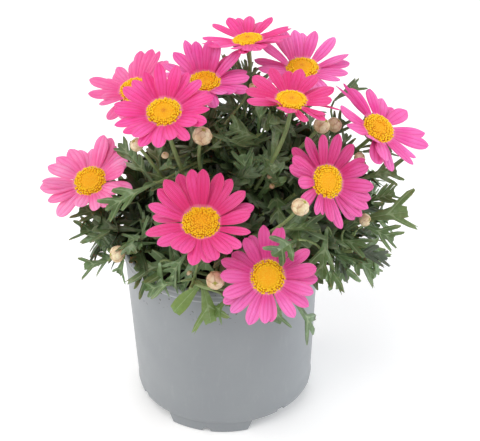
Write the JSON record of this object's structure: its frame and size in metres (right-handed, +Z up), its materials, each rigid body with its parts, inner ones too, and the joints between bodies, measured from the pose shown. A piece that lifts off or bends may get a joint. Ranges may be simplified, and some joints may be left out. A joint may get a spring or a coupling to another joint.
{
  "type": "potted marguerite daisy",
  "caption": "Marguerite daisy in a round plastic nursery pot: pink daisy flowers with yellow discs, round buds and lobed grey-green leaves on branching stems.",
  "frame": {"origin": "centre of the pot's underside, on the surface that the pot stands on", "axes": "+Z up along the pot's axis, -Y towards the front of the plant, +X to its right as seen from the front"},
  "size_m": [0.2225, 0.1956, 0.2369],
  "materials": {
    "pot": "satin",
    "soil": "matte",
    "crown": "matte",
    "stalk": "satin",
    "leaf": "matte",
    "bud": "matte",
    "disc": "matte",
    "petal_light": "satin",
    "petal_pink": "satin",
    "petal_deep": "satin",
    "petal_magenta": "satin"
  },
  "bodies": {
    "root": {"bud_far_upper_right": "bud", "bud_low_front": "bud", "bud_low_left": "bud", "bud_low_right": "bud", "bud_middle_right": "bud", "bud_right": "bud", "bud_upper_left": "bud", "bud_upper_middle": "bud", "bud_upper_right": "bud", "flower_back_left_disc": "disc", "flower_back_left_petals": "petal_pink", "flower_back_left_stalk": "stalk", "flower_back_right_disc": "disc", "flower_back_right_petals": "petal_deep", "flower_back_right_stalk": "stalk", "flower_left_disc": "disc", "flower_left_petals": "petal_light", "flower_left_stalk": "stalk", "flower_low_front_disc": "disc", "flower_low_front_petals": "petal_pink", "flower_low_front_stalk": "stalk", "flower_middle_left_disc": "disc", "flower_middle_left_petals": "petal_deep", "flower_middle_left_stalk": "stalk", "flower_middle_right_disc": "disc", "flower_middle_right_petals": "petal_magenta", "flower_middle_right_stalk": "stalk", "flower_right_disc": "disc", "flower_right_petals": "petal_pink", "flower_right_stalk": "stalk", "flower_top_disc": "disc", "flower_top_petals": "petal_deep", "flower_top_stalk": "stalk", "flower_upper_left_back_disc": "disc", "flower_upper_left_back_petals": "petal_light", "flower_upper_left_back_stalk": "stalk", "flower_upper_left_front_disc": "disc", "flower_upper_left_front_petals": "petal_deep", "flower_upper_left_front_stalk": "stalk", "flower_upper_middle_disc": "disc", "flower_upper_middle_petals": "petal_pink", "flower_upper_middle_stalk": "stalk", "flower_upper_right_back_disc": "disc", "flower_upper_right_back_petals": "petal_pink", "flower_upper_right_back_stalk": "stalk", "flower_upper_right_front_disc": "disc", "flower_upper_right_front_petals": "petal_deep", "flower_upper_right_front_stalk": "stalk", "leafy_shoot_back_left": "leaf", "leafy_shoot_back_right": "leaf", "leafy_shoot_front_left": "leaf", "leafy_shoot_front_right": "leaf", "leafy_shoot_left_lower": "leaf", "leafy_shoot_left_upper": "leaf", "leafy_shoot_right_lower": "leaf", "leafy_shoot_right_upper": "leaf", "leafy_shoot_top": "leaf", "pot": "pot", "soil": "soil", "woody_crown": "crown"}
  },
  "joints": []
}
